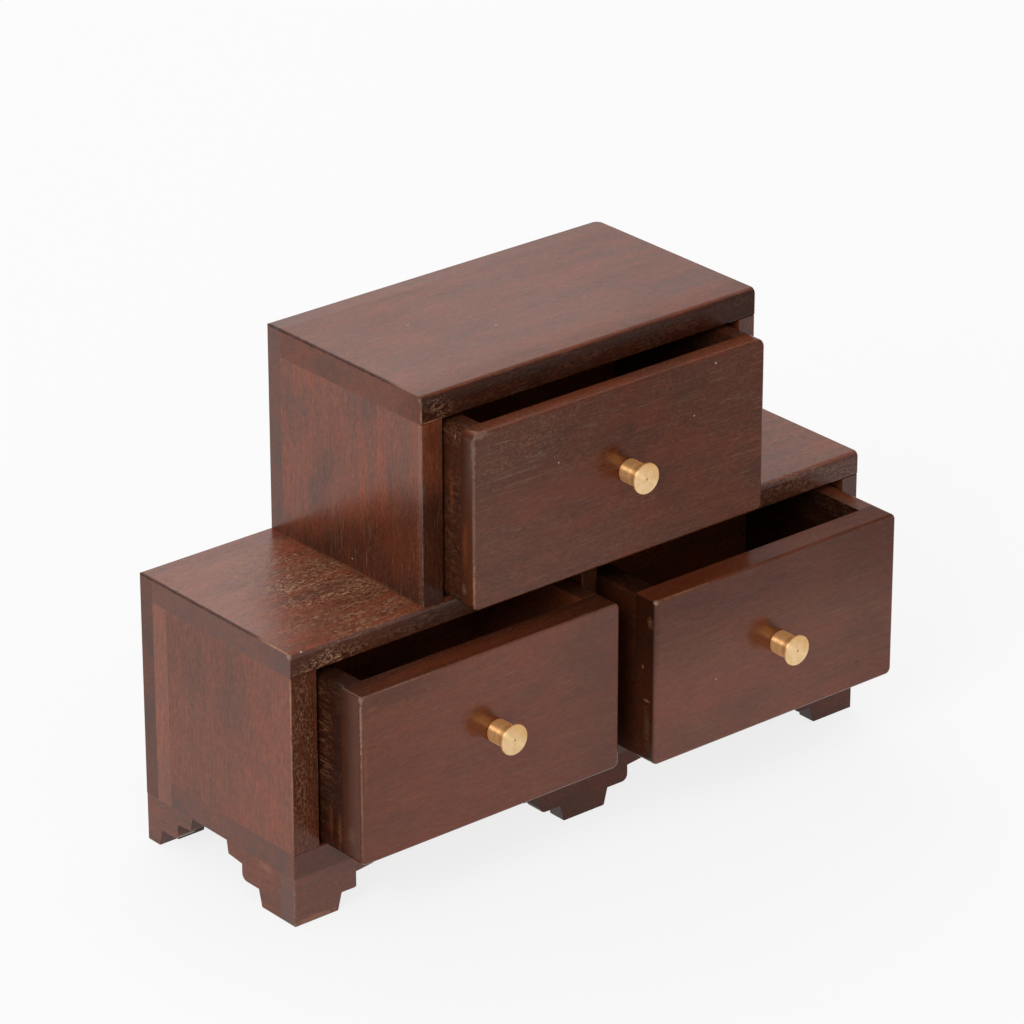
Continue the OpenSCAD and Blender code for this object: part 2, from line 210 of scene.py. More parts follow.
BODY_OF = {node: body for body, nodes in frame["record"]["behaviour"]["bodies"].items()
           for node in nodes}
SLOT_OF = {part["node"]: part["material_slot"] for part in frame["record"]["subparts"]}
BOXES = {node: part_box(node) for node in frame["nodes"]}
METAL_SLOTS = ("knob_brass", "screw_steel", "pin_steel")
BOARDS = [node for node in sorted(frame["nodes"]) if SLOT_OF[node] not in METAL_SLOTS]
BESIDE = 0.6 * MM           # how far from an edge its neighbours are looked for
SMOOTH_ANGLE = math.radians(40)


def meets_neighbour(node, point):
    """Whether the point lies in another board of the same body."""
    for other in BOARDS:
        if other == node or BODY_OF[other] != BODY_OF[node]:
            continue
        low, high = BOXES[other]
        if all(low[i] < point[i] < high[i] for i in range(3)):
            return True
    return False


def lies_free(node, point, outward_a, outward_b):
    """Whether no neighbour covers either side of a board next to a point of its edge."""
    sideways = BESIDE * (outward_a - outward_b)
    beside = (point + sideways, point - sideways)
    return not any(meets_neighbour(node, p) for p in beside)


def along(start, end, parts=8):
    """Points spread evenly between start and end."""
    return [start.lerp(end, (i + 0.5) / parts) for i in range(parts)]


def box_arrises(node):
    """The edges of a board's box that lie free from end to end, as axis and corner."""
    found = []
    for run in range(3):
        a, b = (i for i in range(3) if i != run)
        for side_a, side_b in itertools.product((0, 1), repeat=2):
            corner = Vector(BOXES[node][0])
            corner[a] = BOXES[node][side_a][a]
            corner[b] = BOXES[node][side_b][b]
            far = corner.copy()
            far[run] = BOXES[node][1][run]
            outward_a, outward_b = Vector(), Vector()
            outward_a[a] = 2 * side_a - 1
            outward_b[b] = 2 * side_b - 1
            if all(lies_free(node, p, outward_a, outward_b) for p in along(corner, far)):
                found.append((run, corner))
    return found


def stand_in(node, mesh, suffix):
    """An object that stands for a CAD node, in its place and on its body."""
    piece = bpy.data.objects.new(node + suffix, mesh)
    bpy.context.scene.collection.objects.link(piece)
    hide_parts(node)
    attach(piece, BODY_OF[node])
    return piece


def smooth_faces(mesh, sharp_from=SMOOTH_ANGLE):
    """Shade a mesh smoothly, but for its edges from that angle on."""
    mesh.shade_smooth()
    mesh.set_sharp_from_angle(angle=sharp_from)


def board_object(node, mesh):
    """A board in its place. Its faces look flat, and only its arrises rounded."""
    smooth_faces(mesh)
    board = stand_in(node, mesh, "_board")
    even = board.modifiers.new("even_normals", "WEIGHTED_NORMAL")
    even.keep_sharp = True
    return board


def skin(solid, rings):
    """Faces from each ring of vertices to the next. A ring may be a single vertex."""
    count = max(len(ring) for ring in rings)
    for ring, following in zip(rings, rings[1:]):
        for i in range(count):
            j = (i + 1) % count
            corners = [ring[i % len(ring)], ring[j % len(ring)],
                       following[j % len(following)], following[i % len(following)]]
            solid.faces.new(list(dict.fromkeys(corners)))


def closed_mesh(name, solid):
    """A mesh of a closed solid, with its faces turned outwards."""
    bmesh.ops.recalc_face_normals(solid, faces=solid.faces)
    mesh = bpy.data.meshes.new(name)
    solid.to_mesh(mesh)
    solid.free()
    return mesh


# ---------- boards with rubbed arrises ----------

WELD = 0.005 * MM
FLAT_ANGLE = math.radians(0.2)      # faces that turn less than this are one face
ARRIS_R = 0.35 * MM                 # how far a free arris is rubbed down
ARRIS_ANGLE = math.radians(60)      # the least turn that makes an edge an arris


def is_free_arris(node, edge):
    """A sharp outer edge with no board of the same body against either face."""
    if len(edge.link_faces) != 2 or not edge.is_convex:
        return False
    if edge.calc_face_angle() < ARRIS_ANGLE:
        return False
    a, b = (face.normal for face in edge.link_faces)
    start, end = (vertex.co for vertex in edge.verts)
    return all(lies_free(node, point, a, b) for point in along(start, end))


def rubbed_board(node):
    """A copy of a CAD board with its free arrises rubbed down, in the board's place."""
    mesh = frame["nodes"][node].data.copy()
    mesh.name = node + "_board"
    solid = bmesh.new()
    solid.from_mesh(mesh)
    bmesh.ops.remove_doubles(solid, verts=solid.verts, dist=WELD)
    bmesh.ops.dissolve_limit(solid, angle_limit=FLAT_ANGLE,
                             verts=solid.verts, edges=solid.edges)
    arrises = [edge for edge in solid.edges if is_free_arris(node, edge)]
    bmesh.ops.bevel(solid, geom=arrises, offset=ARRIS_R, offset_type="OFFSET", segments=2,
                    profile=0.5, affect="EDGES", clamp_overlap=True)
    solid.to_mesh(mesh)
    solid.free()
    if "custom_normal" in mesh.attributes:
        mesh.attributes.remove(mesh.attributes["custom_normal"])
    return board_object(node, mesh)


# ---------- drawer fronts ----------

FRONT_EASE = 1.3 * MM       # rounding of the arrises round a front's face
BACK_EASE = 0.1 * MM
EASE_STEPS = 6
SHARP_R = 0.3 * MM          # the least that a corner is rounded
# Radii in mm of a front's corners: bottom left, bottom right, top right, top left
FRONT_CORNERS = {
    "upper_drawer_front": (2.8, 2.8, 4.0, 4.0),
    "left_drawer_front": (2.8, 2.8, 2.8, 1.0),
    "right_drawer_front": (2.8, 2.8, 2.8, 1.0),
}


def rounded_outline(low, high, radii, inset, steps=8):
    """Points of an upright rectangle with rounded corners, drawn in by inset."""
    centres = [(low[0], low[2], 1, 1), (high[0], low[2], -1, 1),
               (high[0], high[2], -1, -1), (low[0], high[2], 1, -1)]
    points = []
    for turn, ((x, z, inward_x, inward_z), radius) in enumerate(zip(centres, radii)):
        r = max(radius * MM - inset, SHARP_R)
        x += inward_x * (inset + r)
        z += inward_z * (inset + r)
        for i in range(steps + 1):
            angle = math.radians(180 + 90 * turn + 90 * i / steps)
            points.append((x + r * math.cos(angle), z + r * math.sin(angle)))
    return points


def drawer_front(node):
    """A drawer front with eased arrises, each corner with its own rounding."""
    low, high = BOXES[node]
    quarter = [math.radians(90 * i / EASE_STEPS) for i in range(EASE_STEPS + 1)]
    # How far the outline is drawn in, from the back arrises to the front ones
    depths = [(high[1] - BACK_EASE * (1 - math.cos(a)), BACK_EASE * (1 - math.sin(a)))
              for a in quarter]
    depths += [(low[1] + FRONT_EASE * (1 - math.sin(a)), FRONT_EASE * (1 - math.cos(a)))
               for a in quarter]
    solid = bmesh.new()
    rings = []
    for y, inset in depths:
        outline = rounded_outline(low, high, FRONT_CORNERS[node], inset)
        rings.append([solid.verts.new((x, y, z)) for x, z in outline])
    skin(solid, rings)
    solid.faces.new(rings[0])
    solid.faces.new(rings[-1])
    return board_object(node, closed_mesh(node + "_board", solid))


# ---------- wood ----------

STAIN = Vector((0.165, 0.0395, 0.0148))     # linear colour of the stained wood
# The stain is multiplied by these
GREYER = (0.66, 0.84, 1.10)
REDDER = (1.24, 0.98, 0.88)
DARKER = (0.62, 0.60, 0.62)
END_GRAIN = (0.83, 0.94, 1.05)
GRITTY = (0.52, 0.54, 0.57)
OPEN_PORE = (0.45, 0.42, 0.42)
BETWEEN = (0.60, 0.53, 0.54)                # between the curled scratches
# The stain turns to these
RUBBED = (0.42, 0.225, 0.120, 1.0)          # scratches down to the bare wood
SAWN = (0.20, 0.072, 0.031, 1.0)            # strokes of the saw
BARE = (0.36, 0.22, 0.14, 1.0)              # arrises worn down to the bare wood
HAIR = (0.20, 0.135, 0.095, 1.0)            # fine pale lines along the grain
DUST = (0.42, 0.34, 0.29, 1.0)
DUST_SHARE = 0.05                           # share of the cells with a speck of dust
DUST_CELL_MM = 9
DUST_R = (0.05, 0.03)                       # a speck's outer and inner radius, in cells

# Noises: size in mm along the grain, across it and through the board, then
# detail, roughness and distortion where they differ from the usual ones
BOARD_NOISES = {
    "sway": (90, 30, 30, 1.0),              # of the growth rings
    "patch": (26, 13, 13, 3.0, 0.55),       # redder and duller patches
    "cloud": (34, 20, 20),                  # greyer patches
    "grit": (2.6, 1.0, 1.0, 3.0, 0.75),
    "hair": (13, 0.36, 0.36),
    "hair_band": (17, 5, 5),                # where the hairlines gather
    "contour": (2.9, 1.2, 1.5, 2.0, 0.6, 0.7),
    "crumb": (1.7, 0.72, 0.9, 2.0, 0.6, 0.4),
    "band": (30, 5, 5, 3.0, 0.6),           # where the curled scratches gather
    "stroke": (6.0, 0.55, 0.55, 2.0, 0.5, 0.2),
    "gleam": (4, 2, 2, 1.0),                # how clearly scratches show
    "chew": (6, 1.6, 1.6, 3.0, 0.65),       # breaks up the wear
}
# These follow the growth rings
RING_NOISES = {
    "broad": (95, 5.5, 5.5, 3.0, 0.55),
    "narrow": (36, 1.3, 1.3, 2.0, 0.6),
    "fibre": (11, 0.42, 0.42, 2.0, 0.65),
    "dash": (3.2, 0.42, 0.42, 1.0),
}
# And these are seen elsewhere in the noise, so that they don't repeat another
MOVED = {"cloud": (61, 17, 43), "crumb": (5, 71, 29), "stroke": (13, 7, 59)}
SWAY_MM = 10.0

# Tints of the stain: noise, the values between which it sets in, the input that
# gives its strength, a share of that, and the colour
TINTS = [
    ("broad", 0.42, 0.68, "Streak", 1.0, GREYER),
    ("broad", 0.58, 0.42, "Streak", 0.5, REDDER),
    ("cloud", 0.48, 0.70, "Blotch", 1.0, GREYER),
    ("patch", 0.50, 0.72, "Blotch", 1.0, REDDER),
    ("narrow", 0.50, 0.76, "Streak", 0.8, DARKER),
    ("fibre", 0.42, 0.68, "Grit", 1.0, DARKER),
    ("grit", 0.36, 0.64, "Grit", 1.0, GRITTY),
]
# How much they add to the roughness, and how far they stand out or in
ROUGHER = {"scratch": 0.35, "worn": 0.25, "pore": 0.2}
RELIEF = {"fibre": 0.5, "grit": 0.35, "pore": -0.6, "scratch": -0.5, "speck": 2.0}

WOOD_INPUTS = {
    "Grain": "NodeSocketVector",    # board coordinates in mm, x along the grain
    "End": "NodeSocketFloat",       # 1 on end grain
    "Edge": "NodeSocketFloat",      # distance to the nearest free arris in mm
    # Tone is the stain with the painted shade and light of single sides and places
    "Tone": "NodeSocketColor",      # colour of the stain
    "Rough": "NodeSocketFloat",     # roughness of the polish
    "Streak": "NodeSocketFloat",    # strength of the long streaks
    "Blotch": "NodeSocketFloat",    # strength of the patches
    "Grit": "NodeSocketFloat",      # strength of the fine mottle
    "Curl": "NodeSocketFloat",      # how densely it has small curled scratches
    "Stroke": "NodeSocketFloat",    # how densely it has straight scratches
    "Hair": "NodeSocketFloat",      # how densely it has pale hairlines
    "Wear": "NodeSocketFloat",      # how far the arrises are worn
}
WOOD_OUTPUTS = {"Color": "NodeSocketColor", "Roughness": "NodeSocketFloat",
                "Height": "NodeSocketFloat"}


def noises(g, coordinates, table):
    """The noises of a table by name, in coordinates in mm."""
    made = {}
    for name, (along_mm, across_mm, thick_mm, *settings) in table.items():
        where = g.vector("ADD", coordinates, MOVED[name]) if name in MOVED else coordinates
        scales = (1 / along_mm, 1 / across_mm, 1 / thick_mm)
        made[name] = g.noise(g.vector("MULTIPLY", where, scales), *settings)
    return made


def scratched(g, given, seen, flank, tone):
    """Scratches down to the bare wood, and where they are.

    Curled ones are the contour lines of a noise, with crumbs between them, and
    gather in bands. The straight ones are strokes of the saw along the grain."""
    line = g.level(g.math("ABSOLUTE", g.less(seen["contour"], 0.5)), 0.080, 0.026)
    line = g.times(line, g.level(seen["crumb"], 0.38, 0.56))
    crumb = g.times(g.level(seen["crumb"], 0.52, 0.66), 0.8)
    dense = g.times(g.level(seen["band"], 0.36, 0.60, 0.22, 1.0), given["Curl"])
    dense = g.times(dense, flank)
    curl = g.times(g.math("MAXIMUM", line, crumb), dense)
    stroke = g.times(g.times(g.level(seen["stroke"], 0.50, 0.66), given["Stroke"]), flank)
    gleam = g.level(seen["gleam"], 0.3, 0.7, 0.45, 1.0)
    tone = g.tint(dense, tone, BETWEEN)
    tone = g.mix(g.times(curl, gleam), tone, RUBBED)
    tone = g.mix(g.times(stroke, gleam), tone, SAWN)
    return tone, g.math("MAXIMUM", curl, stroke)


def worn_arris(g, given, seen):
    """How far a place along a free arris is worn. Noise breaks the wear up."""
    reach = g.times(given["Wear"], g.level(seen["chew"], 0.30, 0.75, 0.15, 2.0))
    worn = g.level(g.math("DIVIDE", given["Edge"], g.math("MAXIMUM", reach, 0.01)),
                   0.35, 1.0, 1.0, 0.0)
    return g.times(worn, g.level(given["Wear"], 0.0, 0.3))


def dust_speck(g, grain):
    """1 in the specks of dust. Only a few of the cells have one."""
    cell = g.node("ShaderNodeTexVoronoi")
    g.feed(cell.inputs["Vector"], g.vector("MULTIPLY", grain, (1 / DUST_CELL_MM,) * 3))
    g.feed(cell.inputs["Scale"], 1.0)
    lot = g.split(cell.outputs["Color"])[0]
    return g.times(g.level(cell.outputs["Distance"], *DUST_R),
                   g.math("GREATER_THAN", lot, 1 - DUST_SHARE))


def make_wood_group():
    """Dark stained wood with a satin finish, scratches and worn arrises."""
    tree = bpy.data.node_groups.new("stained_wood", "ShaderNodeTree")
    for name, kind in WOOD_INPUTS.items():
        tree.interface.new_socket(name, in_out="INPUT", socket_type=kind)
    for name, kind in WOOD_OUTPUTS.items():
        tree.interface.new_socket(name, in_out="OUTPUT", socket_type=kind)
    g = Graph(tree)
    given = g.node("NodeGroupInput").outputs
    grain = given["Grain"]
    flank = g.less(1.0, given["End"])

    # Growth rings that sway a little, fibres along them, and patches in the stain
    seen = noises(g, grain, BOARD_NOISES)
    sway = g.times(g.less(seen["sway"], 0.5), SWAY_MM)
    seen.update(noises(g, g.vector("ADD", grain, g.join(0.0, sway, 0.0)), RING_NOISES))
    tone = given["Tone"]
    for name, start, full, strength, share, factor in TINTS:
        amount = g.times(g.level(seen[name], start, full), g.times(given[strength], share))
        tone = g.tint(amount, tone, factor)
    tone = g.tint(given["End"], tone, END_GRAIN)

    # Open pores and pale hairlines: short dashes and long ones, in some streaks only
    seen["pore"] = g.times(g.level(seen["dash"], 0.66, 0.74),
                           g.level(seen["narrow"], 0.42, 0.62))
    tone = g.tint(seen["pore"], tone, OPEN_PORE)
    hair = g.times(g.level(seen["hair"], 0.56, 0.72),
                   g.level(seen["hair_band"], 0.38, 0.66))
    tone = g.mix(g.times(g.times(hair, given["Hair"]), flank), tone, HAIR)

    tone, seen["scratch"] = scratched(g, given, seen, flank, tone)
    seen["worn"] = worn_arris(g, given, seen)
    tone = g.mix(g.times(seen["worn"], 0.4), tone, BARE)
    seen["speck"] = dust_speck(g, grain)
    tone = g.mix(seen["speck"], tone, DUST)

    rough = g.add(given["Rough"], g.times(g.less(seen["patch"], 0.5), 0.2))
    for name, share in ROUGHER.items():
        rough = g.add(rough, g.times(seen[name], share))
    height = g.times(seen["narrow"], 0.8)
    for name, share in RELIEF.items():
        height = g.add(height, g.times(seen[name], share))

    out = g.node("NodeGroupOutput").inputs
    g.feed(out["Color"], tone)
    g.feed(out["Roughness"], rough)
    g.feed(out["Height"], height)
    return tree


WOOD_GROUP = make_wood_group()

# The axes of the frame in the order that puts the one along the grain first
GRAIN_ORDER = {"x": (0, 1, 2), "y": (1, 0, 2), "z": (2, 0, 1)}
SEED_SHIFT = Vector((311.0, 173.0, 97.0))   # each board lies elsewhere in the noise
WOOD_BUMP_MM = 0.028
SHINE = 0.5             # specular level of the polish
FAR_MM = 99.0           # stands for no arris near
FACINGS = {"-x": (0, -1), "+x": (0, 1), "-y": (1, -1), "+z": (2, 1)}   # axis and sign
X, Y, Z = (1, 0, 0), (0, 1, 0), (0, 0, 1)
# A spot fades out between these shares of its reach, with its edge torn by noise
SPOT_OUT, SPOT_IN = 1.15, 0.15
TEAR_SCALE, TEAR_DEPTH = 0.6, 2.4


def arris_distance(g, place, node):
    """Distance in mm from a point of a board's surface to its nearest free arris."""
    nearest = FAR_MM
    for run, corner in box_arrises(node):
        a, b = (i for i in range(3) if i != run)
        gaps = [g.math("ABSOLUTE", g.less(place[i], corner[i] / MM)) for i in (a, b)]
        nearest = g.math("MINIMUM", nearest, g.math("MAXIMUM", *gaps))
    return nearest


def spot(g, place, ragged, centre, reach):
    """1 within reach of a place, all in mm, with a ragged edge."""
    offset = g.vector("SUBTRACT", g.join(*place), centre)
    offset = g.vector("DIVIDE", offset, reach)
    return g.level(g.add(g.vector("LENGTH", offset), ragged), SPOT_OUT, SPOT_IN)


def stain_with_painted_shade(g, point, normal, tone, faces, fades):
    """Colour of the stain with painted shade and light: sides darker or lighter by the way
    they face, and places darker or lighter along a direction.
    """
    stain = (*(STAIN * tone), 1.0)
    # Painted shade and light of single sides
    for facing, shade in faces.items():
        axis, sign = FACINGS[facing]
        turned = g.times(normal[axis], sign)
        stain = g.tint(g.level(turned, 0.5, 0.9), stain, (shade,) * 3)
    # Painted shade and light by place
    for direction, start, end, shade in fades:
        along_it = g.vector("DOT_PRODUCT", point, direction)
        stain = g.tint(g.level(along_it, start, end), stain, (shade,) * 3)
    return stain


def polished(g, point, normal, dull, dims):
    """Specular level, by the way a side faces and by the place on the board; the dims are
    painted shade in the reflections.
    """
    shine = SHINE
    for facing, share in dull.items():
        axis, sign = FACINGS[facing]
        turned = g.times(normal[axis], sign)
        shine = g.times(shine, g.level(turned, 0.3, 0.8, 1.0, share))
    # Painted shade in the reflections by place
    for direction, start, end, share in dims:
        along_it = g.vector("DOT_PRODUCT", point, direction)
        shine = g.times(shine, g.level(along_it, start, end, 1.0, share))
    return shine


def wood(node, seed, along_grain, tone=1.0, faces=None, fades=(), streak=0.6, blotch=0.6,
         grit=0.6, curl=0.1, stroke=0.0, hair=0.0, wear=0.3, rough=0.21, ior=1.42,
         dull=None, dims=(), seam=False):
    """Material of one board.

    tone lightens or darkens all of it, for the boards inside as painted shade and
    light, and faces does so with single sides, as painted shade and light. A fade
    gives a direction, two places along it in mm and the shade that the board turns
    to between them: painted shade and light by place. dull names sides that shine
    less, and dims are like fades, but of the shine: painted shade in the
    reflections. A seam is the dark line along a top's left arris. streak to rough
    go into the wood group. RUBS adds scratches in a place, and MARKS single traces
    of wear and patches of painted shade. A front has a painted reflection of its
    knob."""
    faces, dull = faces or {}, dull or {}
    material, g = surface(node)
    point = place_in_mm(g)
    place = g.split(point)
    order = GRAIN_ORDER[along_grain]
    grain = g.vector("ADD", g.join(*[place[i] for i in order]), tuple(SEED_SHIFT * seed))
    normal = g.split(g.node("ShaderNodeNewGeometry").outputs["True Normal"])
    ragged = g.noise(g.vector("MULTIPLY", point, (TEAR_SCALE,) * 3), 4.0, 0.75)
    ragged = g.times(g.less(ragged, 0.5), TEAR_DEPTH)

    scratches = {"Curl": curl, "Stroke": stroke, "Hair": hair}
    for kind, strength, centre, reach in RUBS.get(node, ()):
        rub = g.times(spot(g, place, ragged, centre, reach), strength)
        scratches[kind] = g.add(scratches[kind], rub)

    group = g.node("ShaderNodeGroup", node_tree=WOOD_GROUP)
    given = {"Grain": grain,
             "End": g.level(g.math("ABSOLUTE", normal[order[0]]), 0.6, 0.9),
             "Edge": arris_distance(g, place, node),
             "Tone": stain_with_painted_shade(g, point, normal, tone, faces, fades),
             "Rough": rough, "Streak": streak, "Blotch": blotch, "Grit": grit,
             "Wear": wear, **scratches}
    for name, value in given.items():
        g.feed(group.inputs[name], value)

    colour = group.outputs["Color"]
    for trace, strength, centre, reach in MARKS.get(node, ()):
        share = g.times(spot(g, place, ragged, centre, reach), strength)
        colour = g.mix(share, colour, (*TRACES[trace], 1.0))
    # A drawer front gets the painted reflection of its knob
    if node in FRONT_CORNERS:
        colour = paint_knob_reflection(g, point, node, colour)
    shine = polished(g, point, normal, dull, dims)
    if seam:
        gap = left_seam(g, place, node)
        colour = g.tint(gap, colour, SEAM)
        shine = g.times(shine, g.less(1.0, g.times(gap, SEAM_DULL)))
    shader = finish_surface(g, colour, group.outputs["Roughness"], group.outputs["Height"],
                            WOOD_BUMP_MM, IOR=ior)
    g.feed(shader.inputs["Specular IOR Level"], shine)
    return material


# Painted reflection of a knob in the polish of its front, with painted shade
# above and below it: colour, strength, and the centre and reach in mm along
# the run and across it, from the knob's axis
REFLECTION_RUN, REFLECTION_ACROSS = (-0.795, 0, 0.607), (0.607, 0, 0.795)
REFLECTION_WISPS, REFLECTION_TEAR = (0.25, 1.4), 0.9        # how its edges fray
# Painted shade below the reflection, painted shade in its rim above, and the golden painted
# reflection
PAINTED_KNOB_REFLECTION = [
    ((0.045, 0.014, 0.007), 0.22, (10.0, -2.9), (8.0, 3.2)),    # shade below
    ((0.035, 0.011, 0.006), 0.48, (7.0, 4.8), (6.5, 2.2)),      # dark rim above
    ((0.28, 0.115, 0.032), 0.44, (8.0, 1.2), (8.5, 2.6)),       # golden image
]


def paint_knob_reflection(g, point, node, colour):
    """Paints a knob's soft reflection in the polish of its front: golden, with painted
    shade in a darker rim.
    """
    low, high = BOXES[node.replace("_front", "_knob")]
    offset = g.vector("SUBTRACT", point, tuple((Vector(low) + Vector(high)) / 2 / MM))
    run = g.vector("DOT_PRODUCT", offset, REFLECTION_RUN)
    across = g.vector("DOT_PRODUCT", offset, REFLECTION_ACROSS)
    wisps = g.join(g.times(run, REFLECTION_WISPS[0]), g.times(across, REFLECTION_WISPS[1]), 0.0)
    wisps = g.times(g.less(g.noise(wisps, 2.0, 0.6), 0.5), REFLECTION_TEAR)
    for trace, strength, (place_run, place_across), (reach_run, reach_across) in PAINTED_KNOB_REFLECTION:
        away = g.join(g.times(g.less(run, place_run), 1 / reach_run),
                      g.times(g.less(across, place_across), 1 / reach_across), 0.0)
        share = g.level(g.add(g.vector("LENGTH", away), wisps), SPOT_OUT, SPOT_IN)
        colour = g.mix(g.times(share, strength), colour, (*trace, 1.0))
    return colour


SEAM = (0.36, 0.31, 0.30)   # the wood is multiplied by this in the seam
SEAM_DULL = 0.8             # and loses this share of its shine
SEAM_INSET = (0.4, 0.1)     # its middle in mm, from the top's left end and upper face
SEAM_FADE = (0.96, 0.36)    # it sets in between these distances from its middle in mm
SEAM_START = (8, 26)        # and between these from the case front
SEAM_WAVER = 0.9


def left_seam(g, place, node):
    """A thin dark gap along the left arris of a top, fading towards the front."""
    low, high = BOXES[node]
    wobble = g.noise(g.vector("MULTIPLY", g.join(*place), (0.3,) * 3), 3.0, 0.7)
    inset_x, inset_z = SEAM_INSET
    offset = g.join(g.less(place[0], low[0] / MM + inset_x), 0.0,
                    g.less(place[2], high[2] / MM - inset_z))
    gap = g.add(g.vector("LENGTH", offset), g.times(g.less(wobble, 0.5), SEAM_WAVER))
    return g.times(g.level(gap, *SEAM_FADE), g.level(place[1], *SEAM_START))


# ---------- metal ----------

BRASS = (0.93, 0.66, 0.37, 1.0)
# The brass is multiplied by these
# Painted reflection of the warm wood on the knob's sides
SIDE_WOOD_REFLECTION = (1.05, 0.88, 0.70)     # away from the face
LATHE_RING = (0.92, 0.88, 0.82)
TARNISH = (0.94, 0.89, 0.82)
# Painted shade on the face towards the upper right, the darker part of its reflection
PAINTED_FACE_SHADE = (0.88, 0.76, 0.60)          # towards the upper right
CENTRE_MARK = (0.62, 0.50, 0.40)
SWEEP = (0.6, 0.8)                  # direction of that in the knob's box
BRASS_ROUGH = 0.42
BRASS_BUMP_MM = 0.006
STEEL_WEAR = (0.6, 0.55, 0.5)
STEEL_BUMP_MM = 0.02
STEELS = {"screw_steel": (0.42, 0.41, 0.40, 1.0), "pin_steel": (0.22, 0.21, 0.20, 1.0)}


def brass(across_mm):
    """Turned and lacquered brass with fine lathe rings around the knob's axis.

    across_mm is the width of the knob, in whose box the rings are centred."""
    material, g = surface("brass")
    texture = g.node("ShaderNodeTexCoord").outputs
    across, _, up = g.split(g.vector("SUBTRACT", texture["Generated"], (0.5,) * 3))
    radius = g.times(g.vector("LENGTH", g.join(across, 0.0, up)), across_mm)
    point = place_in_mm(g)
    depth = g.split(point)[1]
    rings = g.noise(g.join(g.times(radius, 2.6), g.times(depth, 2.6), 0.0), 3.0, 0.7)
    tarnish = g.noise(g.vector("MULTIPLY", point, (0.4,) * 3), 2.0)
    shade = g.tint(g.level(rings, 0.35, 0.70), BRASS, LATHE_RING)
    shade = g.tint(g.level(tarnish, 0.45, 0.75), shade, TARNISH)
    # Painted shade on the face towards the upper right
    sweep = g.add(g.times(across, SWEEP[0]), g.times(up, SWEEP[1]))
    shade = g.tint(g.level(sweep, -0.10, 0.50), shade, PAINTED_FACE_SHADE)
    # Painted reflection of the wood on the sides
    facing = g.split(g.node("ShaderNodeNewGeometry").outputs["Normal"])[1]
    shade = g.tint(g.level(facing, -0.8, -0.5), shade, SIDE_WOOD_REFLECTION)
    shade = g.tint(g.level(radius, 0.75, 0.35), shade, CENTRE_MARK)
    rough = g.add(BRASS_ROUGH, g.times(g.level(tarnish, 0.3, 0.8), 0.05))
    shader = finish_surface(g, shade, rough, rings, BRASS_BUMP_MM, Metallic=0.92,
                            Anisotropic=0.9, Anisotropic_Rotation=0.25)
    turned = g.node("ShaderNodeTangent", direction_type="RADIAL", axis="Y")
    g.feed(shader.inputs["Tangent"], turned.outputs[0])
    return material


def steel(name, colour):
    """Plain steel, a little dirty."""
    material, g = surface(name)
    grime = g.noise(g.vector("MULTIPLY", place_in_mm(g), (1.4,) * 3), 3.0)
    shade = g.tint(g.level(grime, 0.4, 0.7), colour, STEEL_WEAR)
    rough = g.add(0.3, g.times(grime, 0.2))
    finish_surface(g, shade, rough, grime, STEEL_BUMP_MM, Metallic=1.0)
    return material


# ---------- turned knobs ----------

KNOB_SEGMENTS = 96
KNOB_SHARP = math.radians(50)


def arc(centre_r, centre_u, radius, from_degrees, to_degrees, steps):
    """Points of an arc in the knob's half section, as pairs of radius and distance."""
    points = []
    for i in range(steps + 1):
        angle = math.radians(from_degrees + (to_degrees - from_degrees) * i / steps)
        points.append((centre_r + radius * math.cos(angle),
                       centre_u + radius * math.sin(angle)))
    return points


def knob_section(rim_r, length):
    """Half section of a knob in mm: radius and distance from the drawer front.

    It runs from the bottom of the screw's bore over the collar with its two
    ring grooves, the hollow behind the rim and the rim to the middle of the face."""
    bore_r, bore_depth = 1.8, 7.6
    collar_r, collar_end = 5.1, 5.6
    groove_pitch, groove_half, groove_depth = 1.1, 0.14, 0.03
    hollow_depth, hollow_steps = 0.20, 20
    flare = 2.6                     # the higher, the later the hollow widens to the rim
    dome, rim_t = 0.4, 1.0          # how far the face bulges, and the rim's thickness
    rings, ripple = 30, 0.010       # lathe rings of the face, and their height
    rings_end = 1.04                # radius at which they stop
    centre_r, centre_depth, centre_lip = 0.8, 0.5, 0.01
    soft, fine = 0.6, 0.15          # radii of the rounded edges
    rim_back = length - dome - rim_t
    points = [(0.0, bore_depth), (bore_r, bore_depth), (bore_r, 0.0),
              (collar_r - soft, 0.0)]
    points += arc(collar_r - soft, soft, soft, -80, 0, 6)
    for count in (2, 1):
        groove = collar_end - count * groove_pitch
        points += [(collar_r, groove - groove_half), (collar_r - groove_depth, groove),
                   (collar_r, groove + groove_half)]
    for i in range(hollow_steps):
        t = i / hollow_steps
        radius = collar_r - hollow_depth * math.sin(math.pi * t)
        radius += (rim_r - fine - collar_r) * t ** flare
        points.append((radius, collar_end + t * (rim_back - collar_end)))
    points += arc(rim_r - fine, rim_back + fine, fine, -60, 0, 3)
    points += arc(rim_r - soft / 2, length - dome - soft / 2, soft / 2, 0, 80, 5)
    # The face is a low dome with fine lathe rings and a centre mark
    face_r = rim_r - soft
    for i in range(rings):
        share = 1 - i / rings
        if face_r * share < rings_end:
            break
        wave = ripple if i % 2 else -ripple
        points.append((face_r * share, length - dome * share ** 2 + wave))
    points += [(centre_r, length - centre_lip), (0.0, length - centre_depth)]
    return points


